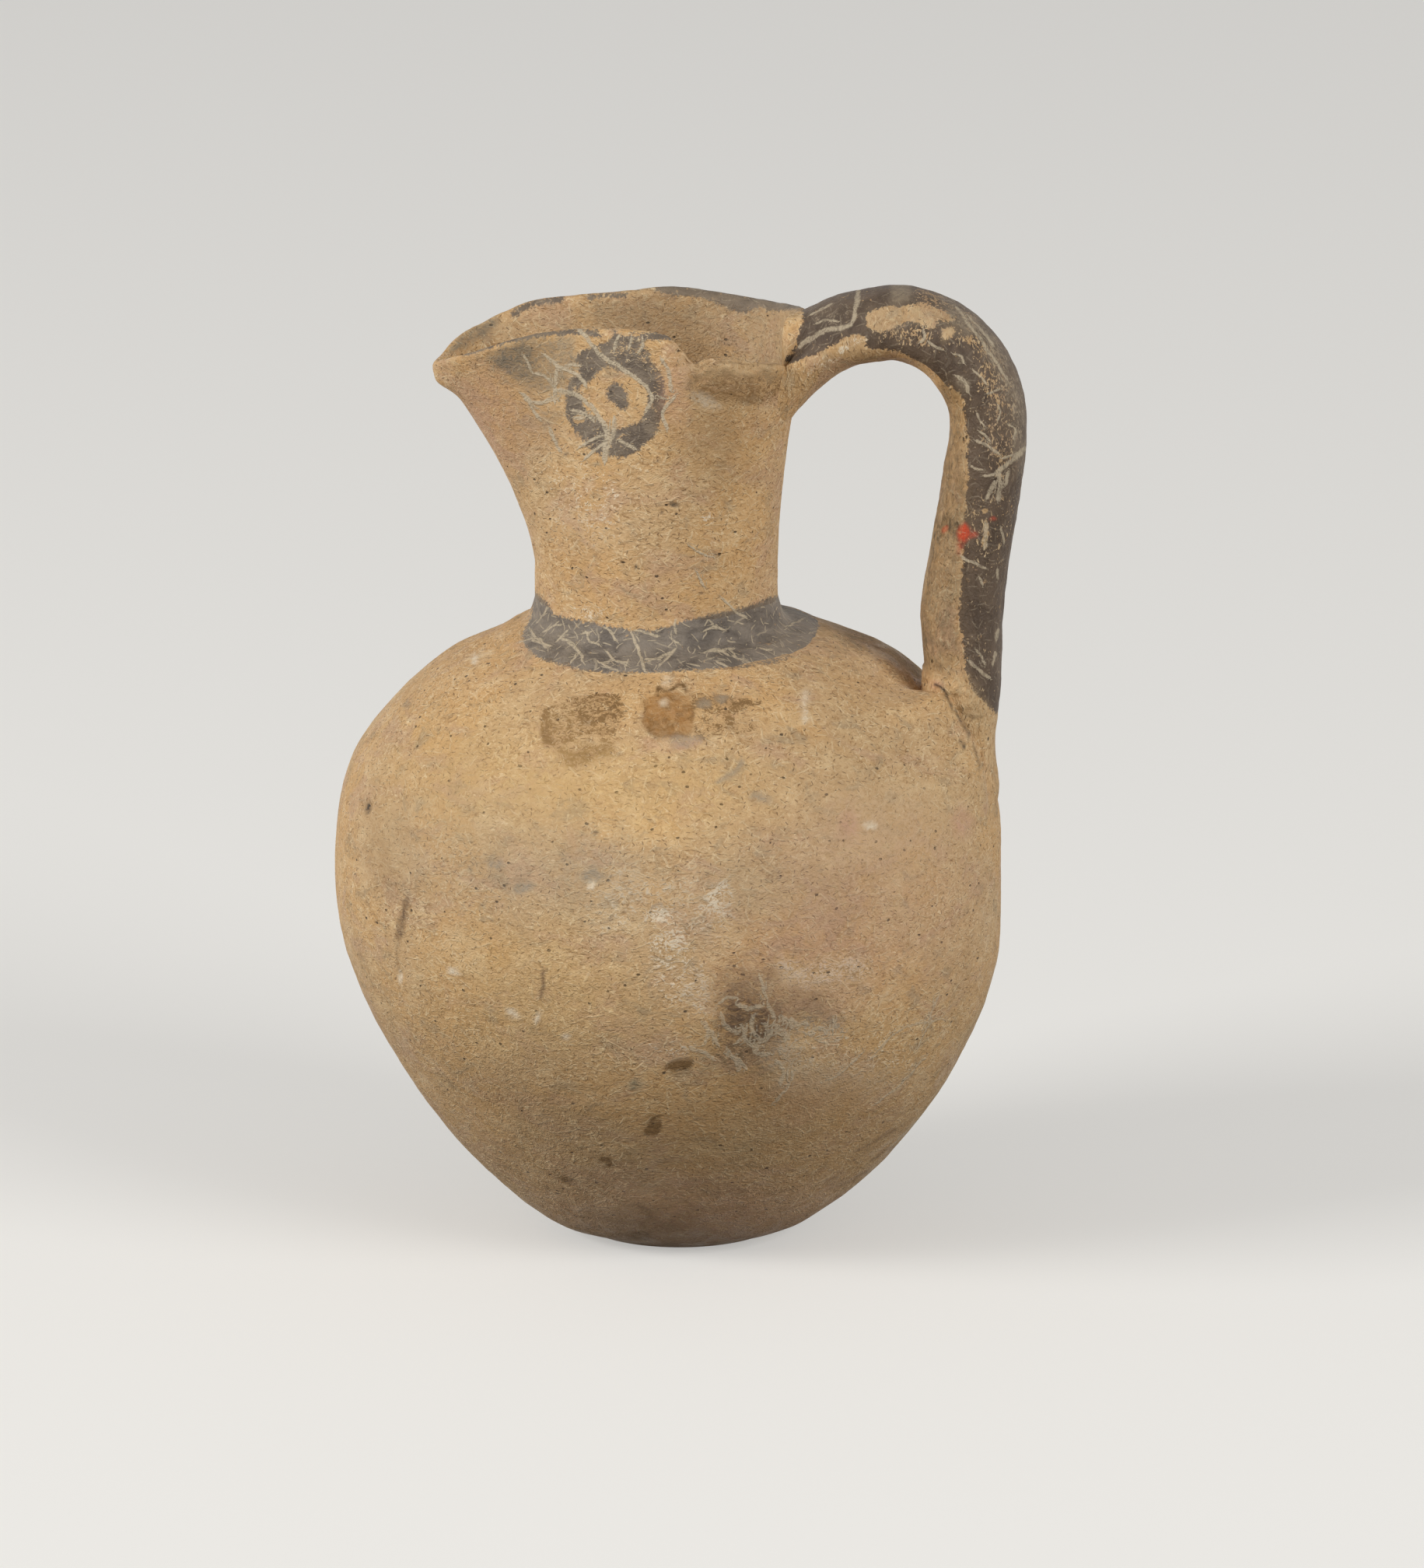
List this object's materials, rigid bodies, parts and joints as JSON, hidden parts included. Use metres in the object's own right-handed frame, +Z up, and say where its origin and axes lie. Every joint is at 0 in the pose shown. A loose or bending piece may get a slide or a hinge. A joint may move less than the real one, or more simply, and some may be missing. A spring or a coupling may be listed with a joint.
{
  "type": "trefoil-mouthed ceramic jug",
  "caption": "Hand-built clay jug with a squat round body, a flaring neck pinched into a pouring spout, and a strap handle from rim to shoulder.",
  "frame": {"origin": "centre of the flat base, on the surface that the jug stands on", "axes": "+Z up, the spout points to -X, the handle stands at +X, +Y is the far side when the jug is seen with its spout to the left"},
  "size_m": [0.1152, 0.1112, 0.1607],
  "materials": {
    "buff_clay": "matt fired buff clay, mottled and worn",
    "dark_slip": "matt grey-black painted slip, scratched and worn"
  },
  "bodies": {
    "root": {"body": "buff_clay", "neck": "buff_clay", "neck_coil": "dark_slip", "handle": "dark_slip", "upper_handle_pad": "buff_clay", "lower_handle_pad": "buff_clay"}
  },
  "joints": []
}
